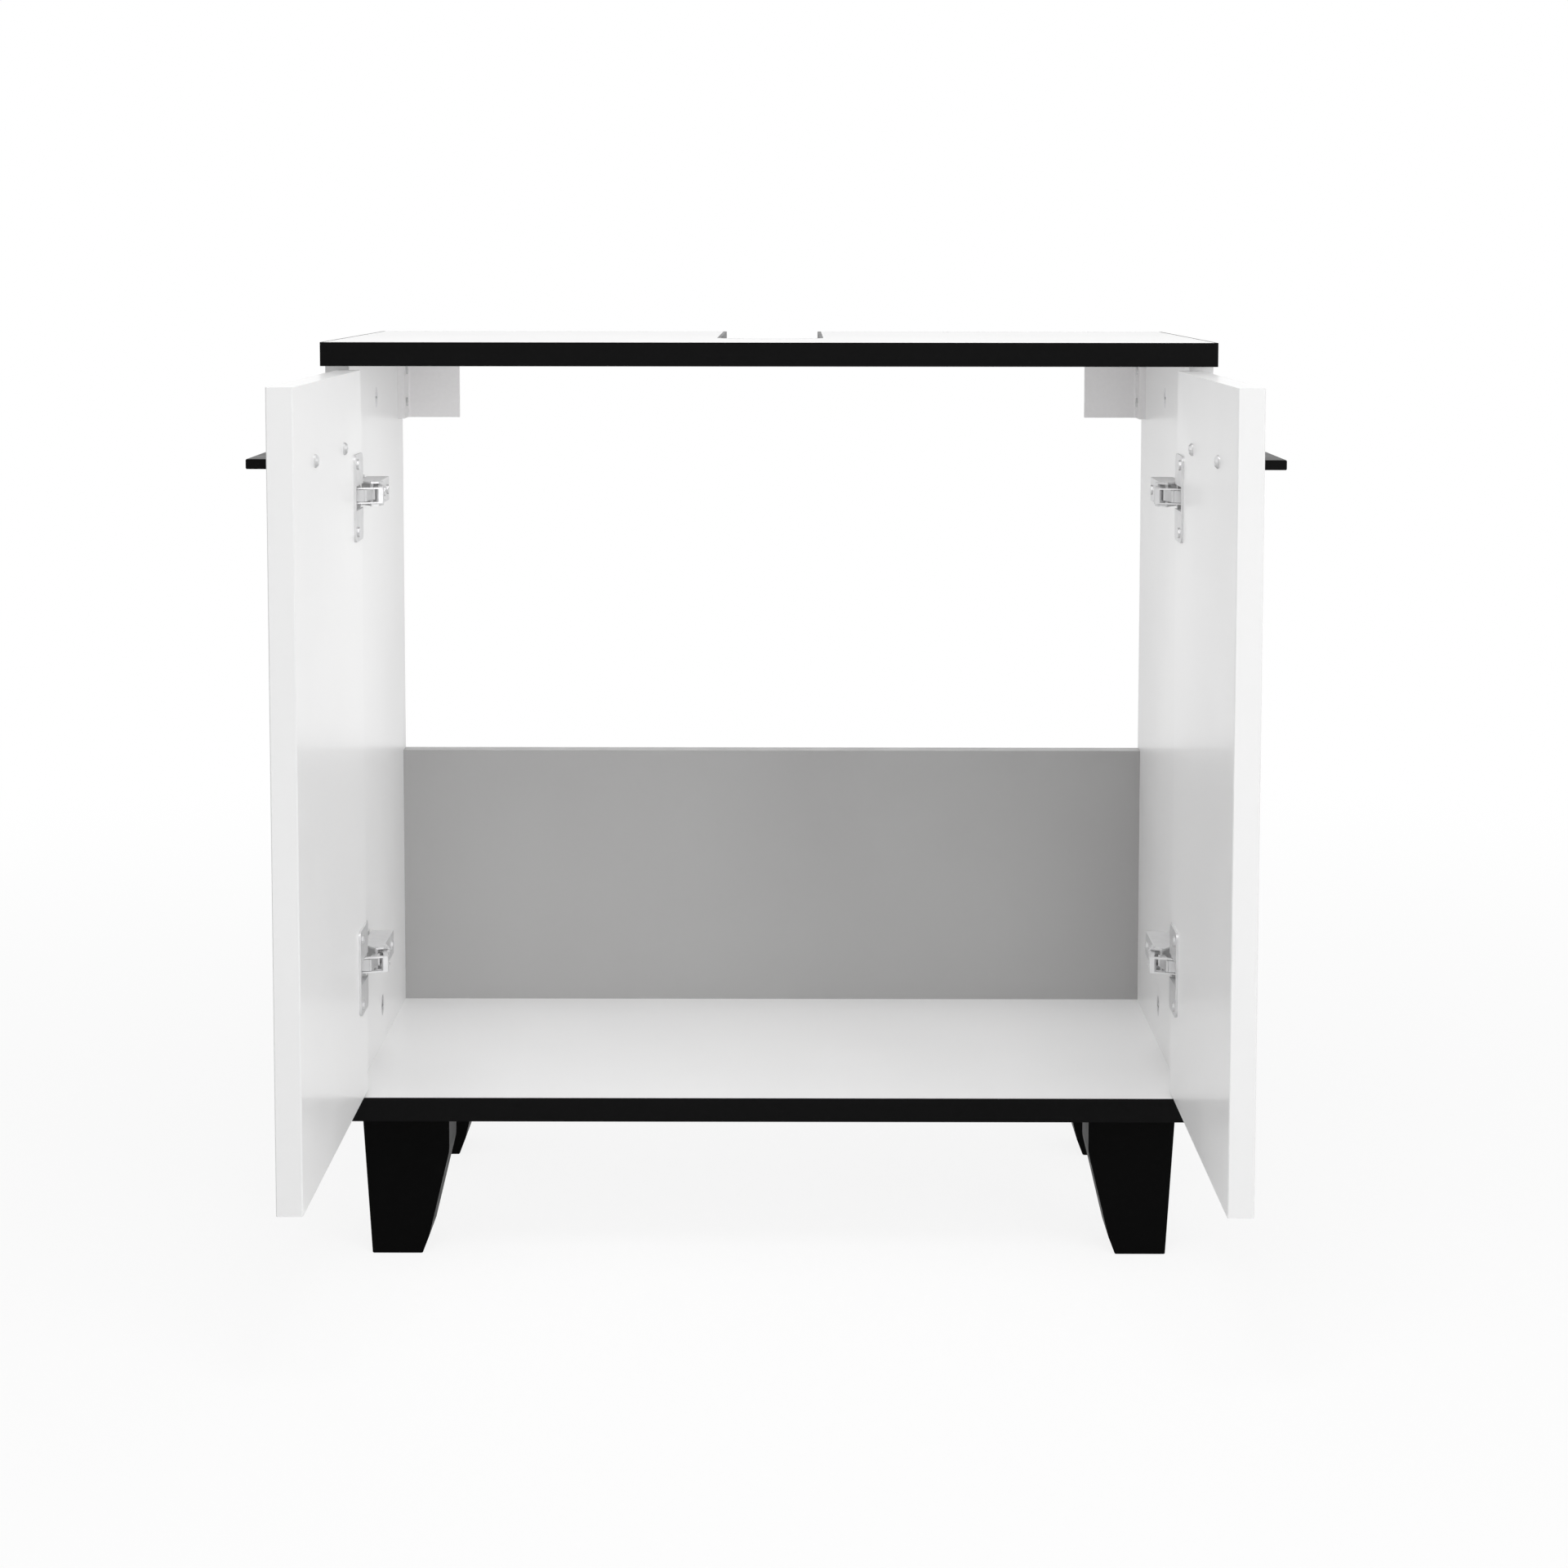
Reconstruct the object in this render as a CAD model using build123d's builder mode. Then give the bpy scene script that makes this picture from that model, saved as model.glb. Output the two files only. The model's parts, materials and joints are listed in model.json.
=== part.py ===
from build123d import *
from math import atan2, cos, degrees, hypot, sin, radians
import os

# Sink base cabinet with two doors on concealed cup hinges, shown with both doors
# open at a right angle.  Millimetres, +Z up, front towards -Y.  The origin is on
# the floor, under the middle of the cabinet with its open doors.

os.makedirs("parts", exist_ok=True)

# ---------------------------------------------------------------------------
# Driving dimensions
# ---------------------------------------------------------------------------
# Boards
board = 16.0                # thickness of every board
top_width = 600.0
top_depth = 339.0           # front edge to rear edge of the top
carcass_depth = 316.0       # front edge of the top to the rear edges of the sides
opening_height = 498.5      # clear height between bottom and top board
leg_height = 98.0
back_height = 194.0         # rear panel, standing on the bottom board
edge_band = 2.0             # black band on the front and the ends of top and bottom
side_set_in = 1.0           # a side's outer face stands in from the end of the top
side_recess = 18.0          # front edge of the top to the front edges of the sides
edge_break = 0.6            # broken edge of boards and bars

# Siphon cut-out in the top
cutout_width = 70.0         # clear width inside the trim
cutout_length = 235.0       # rear edge of the top to the crown of the rounded end
cutout_crown = 22.0         # rise of the rounded end
trim = 2.5                  # thickness of the trim strip

# Corner brackets under the rear of the top
bracket_height = 49.0
bracket_width = 44.0        # along the rear
bracket_reach = 30.0        # along the side
bracket_thickness = 5.0
bracket_root = 2.0          # radius in the inner corner

# Legs
leg_depth = 46.0
leg_inset = 20.0            # front edge of the top to the front legs
leg_rear_inset = 2.0        # rear legs to the rear edges of the sides
leg_end_inset = 20.5        # end of the top to the leg's outer face, at the top
leg_top_width = 59.5
leg_foot_width = 34.5
leg_outer_slant = 6.0       # the outer face leans in this far at the foot
leg_upright = 26.0          # straight part of the inner face, from the top
leg_toe_height = 12.0       # second bend of the inner face, above the floor
leg_toe_slant = 4.6         # the inner face leans in this far below it
leg_bends = (22.0, 8.0)     # radii of the two bends
leg_bore_radius = 5.0       # counterbore for the screw, from below
leg_web = 22.0              # wood left above the counterbore
leg_screw_spacing = 22.0

# Doors
door_gap = 3.0              # to top and bottom board
door_middle_gap = 3.0       # between the closed doors
door_edge_inset = 1.5       # closed door's hinge edge in from the end of the top

# Handles
handle_length = 190.0
handle_reach = 21.0
handle_thickness = 6.0
handle_drop = 45.0          # door's top edge to the top of the bar
handle_hole_spacing = 128.0
handle_thread = 2.0         # radius of the M4 screw
handle_thread_depth = 11.0
dome_radius = 4.2           # screw head inside the door
dome_height = 2.4
dome_slope = 1.5            # bevel round the head

# Hinges, with u measured from the side's inner face into the cabinet and w from
# the closed door's inner face into the cabinet
hinge_drop = 84.0           # door's top edge to the upper hinge
hinge_spacing = 320.0
open_face = 8.5             # u of the inner face of the door at a right angle
open_edge = 3.55            # the open door's hinge edge in front of w = 0
cup_centre = 22.5           # from the door's hinge edge
cup_radius = 17.5
cup_depth = 12.0
well_start = 5.2            # the cup's well, from the door's hinge edge
well_end = 38.0
well_half_height = 8.2
well_depth = 11.1
flange_start = 4.0
flange_end = 40.5
flange_height = 58.0
flange = 1.5
cup_screw_offset = 9.5      # from the cup's centre, away from the hinge edge
cup_screw_spacing = 45.0
cup_pin_edge = 10.0         # both cup pins, from the door's hinge edge
inner_pin_depth = 6.2       # below the door's inner face
outer_pin_depth = 2.8
arm_inner_pin = (13.8, 6.6)     # (u, w) of the inner link's pin on the arm
arm_outer_pin = (18.6, 11.6)    # (u, w) of the outer link's pin on the arm
cup_pin_radius = 0.9
pin_grip = 2.5              # pin's hold in each wall of the well
stub_play = 0.3             # outer pin's stubs, clear of the inner link's height
arm_pin_radius = 1.1
inner_knee = (17.5, 7.1)    # along the line arm pin to cup pin, and across it
outer_knee = (12.5, -12.4)  # along the line cup pin to arm pin, and across it
link_width = 3.0
link_eye = 3.8              # width of an eye round a pin
arm_eye = 4.6
inner_link_height = 8.0
outer_link_height = 10.8
outer_cheek = 1.0           # sheet of the outer link's two cheeks
outer_web_start = 15.8      # from the cup pin to the web that joins the cheeks
slot_half_travel = 1.65     # free way of the outer link's open pivot, each way
slot_side_play = 0.4
slot_wall = 1.0             # sheet round the open pivot's slot
arm_height = 16.2
arm_sheet = 1.2
arm_top = 18.5              # u of the arm's outer surface
arm_foot = 3.2              # u of the cheeks' lower edges
arm_rear = 64.0             # w of the arm's rear end
arm_web_start = 19.0        # w where the web joins the cheeks
plate_centre = 37.0         # side's front edge to the plate's screws
plate_base = 2.0
plate_wing_height = 48.0
plate_wing_width = 12.0
plate_screw_spacing = 32.0
plate_body = (26.0, 61.0)   # w from and to
plate_body_height = 18.6
plate_corner = 3.0          # cut off the outer corners of the plate's wings
rail_height = 13.0          # rail of the plate, inside the arm
arm_screw_places = (33.0, 52.0)     # w of the screws that hold and adjust the arm
screw_core = 1.75           # radius of the small wood screws
screw_depth = 11.0
euro_radius = 3.0           # radius of the plate screws
head_radius = 3.4
plate_head_radius = 4.4
head_height = 1.3

# Knock-down fittings
cam_radius = 7.5
cam_depth = 12.5
cam_slot = 1.6              # width and depth of the cross slot
cam_inset = 27.5            # board's end to the cam's centre
cam_place = 160.0           # front edge of the top to the cams
bolt_radius = 2.5
bolt_head_radius = 3.2
bolt_grip = 11.0            # bolt's hold in the top or bottom board
dowel_radius = 4.0
dowel_length = 30.0
dowel_grip = 10.0           # part of the dowel in the top or bottom board
dowel_inset = 32.0          # side's front or rear edge to the dowel

# Small round pieces and their holes have few sides
shank_sides = 6
head_sides = 8
dome_sides = 14
link_sides = 8              # ends of the hinge links

# Clearances
fit = 0.05                  # radial, pins and dowels in their holes
seat = 0.1                  # between faces that only face each other
under = 0.4                 # free depth under a screw or dowel

# ---------------------------------------------------------------------------
# Places that follow from them
# ---------------------------------------------------------------------------
half_width = top_width / 2
side_outer = half_width - side_set_in
side_inner = side_outer - board
bottom_top = leg_height + board             # upper face of the bottom board
top_under = bottom_top + opening_height     # lower face of the top board
height = top_under + board

door_width = half_width - door_edge_inset - door_middle_gap / 2
door_height = opening_height - 2 * door_gap
door_bottom = bottom_top + door_gap
door_top = door_bottom + door_height
door_reach = door_width + open_edge - board     # open doors in front of the top

front = (door_reach - top_depth) / 2        # front edge of the top
rear = front + top_depth
side_front = front + side_recess
side_rear = front + carcass_depth
hinge_origin = front + board                # w = 0
edge_y = hinge_origin - open_edge           # hinge edge of an open door
free_y = edge_y - door_width                # free edge of an open door
door_middle = (edge_y + free_y) / 2

hinge_heights = {"upper": door_top - hinge_drop, "lower": door_top - hinge_drop - hinge_spacing}
inner_cup_pin = (open_face - inner_pin_depth, -open_edge - cup_pin_edge)
outer_cup_pin = (open_face - outer_pin_depth, -open_edge - cup_pin_edge)
sides = {"left": -1, "right": 1}


def place(sign, u, w):
    """The point (X, Y) of the hinge coordinates u and w, on the left or right side."""
    return (sign * (side_inner - u), hinge_origin + w)


def knee_point(start, end, knee):
    """The bend of a link, given along and across the line from start to end."""
    angle = atan2(end[1] - start[1], end[0] - start[0])
    along, across = knee
    return (
        start[0] + along * cos(angle) - across * sin(angle),
        start[1] + along * sin(angle) + across * cos(angle),
    )


def shank(radius):
    """The section of a small screw, pin or dowel, in the open sketch."""
    RegularPolygon(radius, shank_sides)


def hole(radius):
    """The hole for a shank of this radius that doesn't turn in it."""
    RegularPolygon(radius + fit, shank_sides)


def eye(radius):
    """The hole for a shank of this radius that turns in it."""
    RegularPolygon(radius + fit, shank_sides, major_radius=False, mode=Mode.SUBTRACT)


def ring(width, turn=0):
    """The outside of an eye or of a bar's end, its flats along the direction turn."""
    RegularPolygon(width / 2, link_sides, major_radius=False, rotation=turn + 180 / link_sides)


def link_bar(start, end, bar_width):
    """A bar with blunted ends from start to end, in the open sketch."""
    run = (end[0] - start[0], end[1] - start[1])
    turn = degrees(atan2(run[1], run[0]))
    with Locations(((start[0] + end[0]) / 2, (start[1] + end[1]) / 2)):
        Rectangle(hypot(*run), bar_width, rotation=turn)
    with Locations(start, end):
        ring(bar_width, turn)


def save(piece, name):
    """Labels a finished piece and writes it."""
    piece.part.label = name
    export_step(piece.part, f"parts/{name}.step")


inner_bend = knee_point(arm_inner_pin, inner_cup_pin, inner_knee)
outer_bend = knee_point(outer_cup_pin, arm_outer_pin, outer_knee)

# ---------------------------------------------------------------------------
# Top board, with the siphon cut-out open to the rear
# ---------------------------------------------------------------------------
top_plane = Plane.XY.offset(top_under)
dowel_places = (side_front + dowel_inset, side_rear - dowel_inset)
side_middle = (side_inner + side_outer) / 2
dowel_spots = [(sign * side_middle, y) for sign in sides.values() for y in dowel_places]
bolt_spots = [(sign * side_middle, front + cam_place) for sign in sides.values()]


def cutout_outline(margin):
    """The cut-out's plan, with a margin all round for the trim strip."""
    half = cutout_width / 2 + margin
    crown = rear - cutout_length - margin
    shoulder = rear - cutout_length + cutout_crown
    with BuildSketch() as outline:
        with BuildLine():
            Line((half, shoulder), (half, rear))
            Line((half, rear), (-half, rear))
            Line((-half, rear), (-half, shoulder))
            ThreePointArc((-half, shoulder), (0, crown), (half, shoulder))
        make_face()
    return outline.sketch


with BuildPart() as top_panel:
    with BuildSketch(top_plane):
        with Locations((0, (front + edge_band + rear) / 2)):
            Rectangle(top_width - 2 * edge_band, top_depth - edge_band)
    extrude(amount=board)
    with BuildSketch(top_plane):
        add(cutout_outline(trim))
    extrude(amount=board, mode=Mode.SUBTRACT)
    with BuildSketch(top_plane):
        with Locations(*dowel_spots):
            hole(dowel_radius)
    extrude(amount=dowel_grip + under, mode=Mode.SUBTRACT)
    with BuildSketch(top_plane):
        with Locations(*bolt_spots):
            hole(bolt_radius)
    extrude(amount=bolt_grip + under, mode=Mode.SUBTRACT)
save(top_panel, "top_panel")

with BuildPart() as cutout_trim:
    with BuildSketch(top_plane):
        add(cutout_outline(trim))
        add(cutout_outline(0), mode=Mode.SUBTRACT)
    extrude(amount=board)
save(cutout_trim, "cutout_trim")

# ---------------------------------------------------------------------------
# Bottom board
# ---------------------------------------------------------------------------
leg_screw_x = half_width - leg_end_inset - leg_outer_slant - leg_foot_width / 2
leg_fronts = {"front": front + leg_inset, "rear": side_rear - leg_rear_inset - leg_depth}
leg_screw_spots = [
    (sign * leg_screw_x, leg_front + leg_depth / 2 + along)
    for sign in sides.values()
    for leg_front in leg_fronts.values()
    for along in (-leg_screw_spacing / 2, leg_screw_spacing / 2)
]

with BuildPart() as bottom_panel:
    with BuildSketch(Plane.XY.offset(leg_height)):
        with Locations((0, (front + edge_band + side_rear) / 2)):
            Rectangle(top_width - 2 * edge_band, carcass_depth - edge_band)
    extrude(amount=board)
    with BuildSketch(Plane.XY.offset(bottom_top)):
        with Locations(*dowel_spots):
            hole(dowel_radius)
    extrude(amount=-dowel_grip - under, mode=Mode.SUBTRACT)
    with BuildSketch(Plane.XY.offset(bottom_top)):
        with Locations(*bolt_spots):
            hole(bolt_radius)
    extrude(amount=-bolt_grip - under, mode=Mode.SUBTRACT)
    with BuildSketch(Plane.XY.offset(leg_height)):
        with Locations(*leg_screw_spots):
            hole(screw_core)
    extrude(amount=screw_depth + under, mode=Mode.SUBTRACT)
save(bottom_panel, "bottom_panel")

# ---------------------------------------------------------------------------
# Black edge bands, round the front and both ends of top and bottom
# ---------------------------------------------------------------------------
for name, level, depth in (("top", top_under, top_depth), ("bottom", leg_height, carcass_depth)):
    with BuildPart() as band:
        with BuildSketch(Plane.XY.offset(level)):
            with Locations((0, front + depth / 2)):
                Rectangle(top_width, depth)
            with Locations((0, front + edge_band + depth / 2)):
                Rectangle(top_width - 2 * edge_band, depth, mode=Mode.SUBTRACT)
        extrude(amount=board)
        corners = band.edges().filter_by(Axis.Z).group_by(Axis.Y)[0]
        chamfer(corners, edge_break)
    save(band, f"{name}_edge_band")

# ---------------------------------------------------------------------------
# Side boards, drilled for dowels, cams, bolts, hinge plates, brackets and the
# rear panel's dowels
# ---------------------------------------------------------------------------
side_depth = side_rear - side_front
cam_heights = (bottom_top + cam_inset, top_under - cam_inset)
plate_y = side_front + plate_centre
back_front = side_rear - board
back_dowel_heights = (bottom_top + back_height / 5, bottom_top + back_height * 4 / 5)
bracket_screw_y = side_rear - bracket_thickness - (bracket_reach - bracket_thickness) / 2
bracket_screw_heights = (top_under - bracket_height / 4, top_under - bracket_height * 3 / 4)
plate_screw_heights = [
    z + lift for z in hinge_heights.values() for lift in (-plate_screw_spacing / 2, plate_screw_spacing / 2)
]

for name, sign in sides.items():
    inner_face = Plane(origin=(sign * side_inner, 0, 0), x_dir=(0, 1, 0), z_dir=(sign, 0, 0))
    # on this plane x is Y, and y is Z on the left and right turned over
    up = inner_face.y_dir.Z

    with BuildPart() as side_panel:
        with BuildSketch(Plane.XY.offset(bottom_top)):
            with Locations((sign * side_middle, (side_front + side_rear) / 2)):
                Rectangle(board, side_depth)
        extrude(amount=opening_height)
        for level, into in ((bottom_top, 1), (top_under, -1)):
            with BuildSketch(Plane.XY.offset(level)):
                with Locations(*[(sign * side_middle, y) for y in dowel_places]):
                    hole(dowel_radius)
            extrude(amount=into * (dowel_length - dowel_grip + under), mode=Mode.SUBTRACT)
            with BuildSketch(Plane.XY.offset(level)):
                with Locations((sign * side_middle, front + cam_place)):
                    hole(bolt_head_radius)
            extrude(amount=into * cam_inset, mode=Mode.SUBTRACT)
        with BuildSketch(inner_face):
            with Locations(*[(front + cam_place, up * z) for z in cam_heights]):
                Circle(cam_radius + fit)
        extrude(amount=cam_depth, mode=Mode.SUBTRACT)
        with BuildSketch(inner_face):
            with Locations(*[(plate_y, up * z) for z in plate_screw_heights]):
                hole(euro_radius)
        extrude(amount=screw_depth + under, mode=Mode.SUBTRACT)
        with BuildSketch(inner_face):
            with Locations(*[(bracket_screw_y, up * z) for z in bracket_screw_heights]):
                hole(screw_core)
        extrude(amount=screw_depth + under, mode=Mode.SUBTRACT)
        with BuildSketch(inner_face):
            with Locations(*[(back_front + board / 2, up * z) for z in back_dowel_heights]):
                hole(dowel_radius)
        extrude(amount=dowel_grip + under, mode=Mode.SUBTRACT)
    save(side_panel, f"{name}_side_panel")

    # L-shaped corner bracket under the top, at the rear
    with BuildPart() as bracket:
        with BuildSketch(Plane.XY.offset(top_under - bracket_height)):
            with BuildLine():
                Polyline(
                    (sign * side_inner, side_rear - bracket_reach),
                    (sign * side_inner, side_rear),
                    (sign * (side_inner - bracket_width), side_rear),
                    (sign * (side_inner - bracket_width), side_rear - bracket_thickness),
                    (sign * (side_inner - bracket_thickness), side_rear - bracket_thickness),
                    (sign * (side_inner - bracket_thickness), side_rear - bracket_reach),
                    close=True,
                )
            make_face()
        extrude(amount=bracket_height)
        uprights = bracket.edges().filter_by(Axis.Z)
        root = uprights.filter_by_position(
            Axis.Y, side_rear - bracket_thickness - seat, side_rear - bracket_thickness + seat
        ).sort_by(Axis.X)
        fillet(root[0] if sign < 0 else root[-1], bracket_root)
        with BuildSketch(inner_face):
            with Locations(*[(bracket_screw_y, up * z) for z in bracket_screw_heights]):
                hole(screw_core)
        extrude(amount=-bracket_thickness, mode=Mode.SUBTRACT)
    save(bracket, f"{name}_corner_bracket")

# ---------------------------------------------------------------------------
# Rear panel and its dowels
# ---------------------------------------------------------------------------
with BuildPart() as back_panel:
    with BuildSketch(Plane.XY.offset(bottom_top)):
        with Locations((0, back_front + board / 2)):
            Rectangle(2 * side_inner, board)
    extrude(amount=back_height)
    for sign in sides.values():
        with BuildSketch(Plane(origin=(sign * side_inner, 0, 0), x_dir=(0, 1, 0), z_dir=(1, 0, 0))):
            with Locations(*[(back_front + board / 2, z) for z in back_dowel_heights]):
                hole(dowel_radius)
        extrude(amount=-sign * (dowel_length - dowel_grip + under), mode=Mode.SUBTRACT)
save(back_panel, "back_panel")

with BuildPart() as back_dowels:
    for sign in sides.values():
        outer_end = sign * (side_inner + dowel_grip)
        with BuildSketch(Plane(origin=(outer_end, 0, 0), x_dir=(0, 1, 0), z_dir=(1, 0, 0))):
            with Locations(*[(back_front + board / 2, z) for z in back_dowel_heights]):
                shank(dowel_radius)
        extrude(amount=-sign * dowel_length)
save(back_dowels, "back_panel_dowels")

# ---------------------------------------------------------------------------
# Dowels, cam discs and cam bolts between the sides and top and bottom
# ---------------------------------------------------------------------------
with BuildPart() as dowels:
    for level in (bottom_top - dowel_grip, top_under + dowel_grip - dowel_length):
        with BuildSketch(Plane.XY.offset(level)):
            with Locations(*dowel_spots):
                shank(dowel_radius)
        extrude(amount=dowel_length)
save(dowels, "carcass_dowels")

with BuildPart() as cam_discs:
    for sign in sides.values():
        disc_face = Plane(origin=(sign * side_inner, 0, 0), x_dir=(0, 1, 0), z_dir=(1, 0, 0))
        with BuildSketch(disc_face):
            with Locations(*[(front + cam_place, z) for z in cam_heights]):
                Circle(cam_radius)
        extrude(amount=sign * (cam_depth - under))
        with BuildSketch(disc_face):
            with Locations(*[(front + cam_place, z) for z in cam_heights]):
                Rectangle(cam_radius, cam_slot)
                Rectangle(cam_slot, cam_radius)
        extrude(amount=sign * cam_slot, mode=Mode.SUBTRACT)
    for level, into in ((bottom_top, 1), (top_under, -1)):
        with BuildSketch(Plane.XY.offset(level)):
            with Locations(*bolt_spots):
                hole(bolt_head_radius)
        extrude(amount=into * cam_inset, mode=Mode.SUBTRACT)
save(cam_discs, "cam_discs")

with BuildPart() as cam_bolts:
    for level, into in ((bottom_top, 1), (top_under, -1)):
        with BuildSketch(Plane.XY.offset(level - into * bolt_grip)):
            with Locations(*bolt_spots):
                shank(bolt_radius)
        extrude(amount=into * (bolt_grip + cam_inset - cam_radius / 2))
        with BuildSketch(Plane.XY.offset(level + into * (cam_inset - cam_radius / 2))):
            with Locations(*bolt_spots):
                shank(bolt_head_radius)
        extrude(amount=into * cam_radius / 3)
save(cam_bolts, "cam_bolts")

with BuildPart() as bracket_screws:
    for sign in sides.values():
        head_face = Plane(
            origin=(sign * (side_inner - bracket_thickness), 0, 0), x_dir=(0, 1, 0), z_dir=(1, 0, 0)
        )
        with BuildSketch(head_face):
            with Locations(*[(bracket_screw_y, z) for z in bracket_screw_heights]):
                shank(screw_core)
        extrude(amount=sign * (bracket_thickness + screw_depth))
        with BuildSketch(head_face):
            with Locations(*[(bracket_screw_y, z) for z in bracket_screw_heights]):
                RegularPolygon(head_radius, head_sides)
        extrude(amount=-sign * head_height)
save(bracket_screws, "corner_bracket_screws")

# ---------------------------------------------------------------------------
# Legs: one profile, drawn from the front and extruded front to rear
# ---------------------------------------------------------------------------
for row, leg_front in leg_fronts.items():
    for name, sign in sides.items():
        outer_top = sign * (half_width - leg_end_inset)
        outer_foot = sign * (half_width - leg_end_inset - leg_outer_slant)
        inner_top = sign * (half_width - leg_end_inset - leg_top_width)
        inner_foot = outer_foot - sign * leg_foot_width
        leg_plane = Plane(origin=(0, leg_front, 0), x_dir=(1, 0, 0), z_dir=(0, -1, 0))
        with BuildPart() as leg:
            with BuildSketch(leg_plane):
                with BuildLine():
                    Line((inner_foot, 0), (outer_foot, 0))
                    Line((outer_foot, 0), (outer_top, leg_height))
                    Line((outer_top, leg_height), (inner_top, leg_height))
                    FilletPolyline(
                        (inner_top, leg_height),
                        (inner_top, leg_height - leg_upright),
                        (inner_foot - sign * leg_toe_slant, leg_toe_height),
                        (inner_foot, 0),
                        radius=leg_bends,
                    )
                make_face()
            extrude(amount=-leg_depth)
            long_edges = leg.edges().filter_by(Axis.Y)
            chamfer(long_edges.group_by(Axis.Z)[0], edge_break)
            spots = [
                (sign * leg_screw_x, leg_front + leg_depth / 2 + along)
                for along in (-leg_screw_spacing / 2, leg_screw_spacing / 2)
            ]
            with BuildSketch(Plane.XY):
                with Locations(*spots):
                    hole(screw_core)
            extrude(amount=leg_height, mode=Mode.SUBTRACT)
            with BuildSketch(Plane.XY):
                with Locations(*spots):
                    RegularPolygon(leg_bore_radius, head_sides)
            extrude(amount=leg_height - leg_web, mode=Mode.SUBTRACT)
        save(leg, f"{row}_{name}_leg")

with BuildPart() as leg_screws:
    with BuildSketch(Plane.XY.offset(leg_height - leg_web)):
        with Locations(*leg_screw_spots):
            shank(screw_core)
    extrude(amount=leg_web + screw_depth)
    with BuildSketch(Plane.XY.offset(leg_height - leg_web)):
        with Locations(*leg_screw_spots):
            shank(head_radius)
    extrude(amount=-head_height)
save(leg_screws, "leg_screws")

# ---------------------------------------------------------------------------
# Doors, open at a right angle, with handles and hinges
# ---------------------------------------------------------------------------
handle_z = door_top - handle_drop - handle_thickness / 2
handle_spots = [(door_middle + along, handle_z) for along in (-handle_hole_spacing / 2, handle_hole_spacing / 2)]
cup_y = edge_y - cup_centre
cup_screw_spots = [
    (cup_y - cup_screw_offset, z + lift)
    for z in hinge_heights.values()
    for lift in (-cup_screw_spacing / 2, cup_screw_spacing / 2)
]

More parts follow.
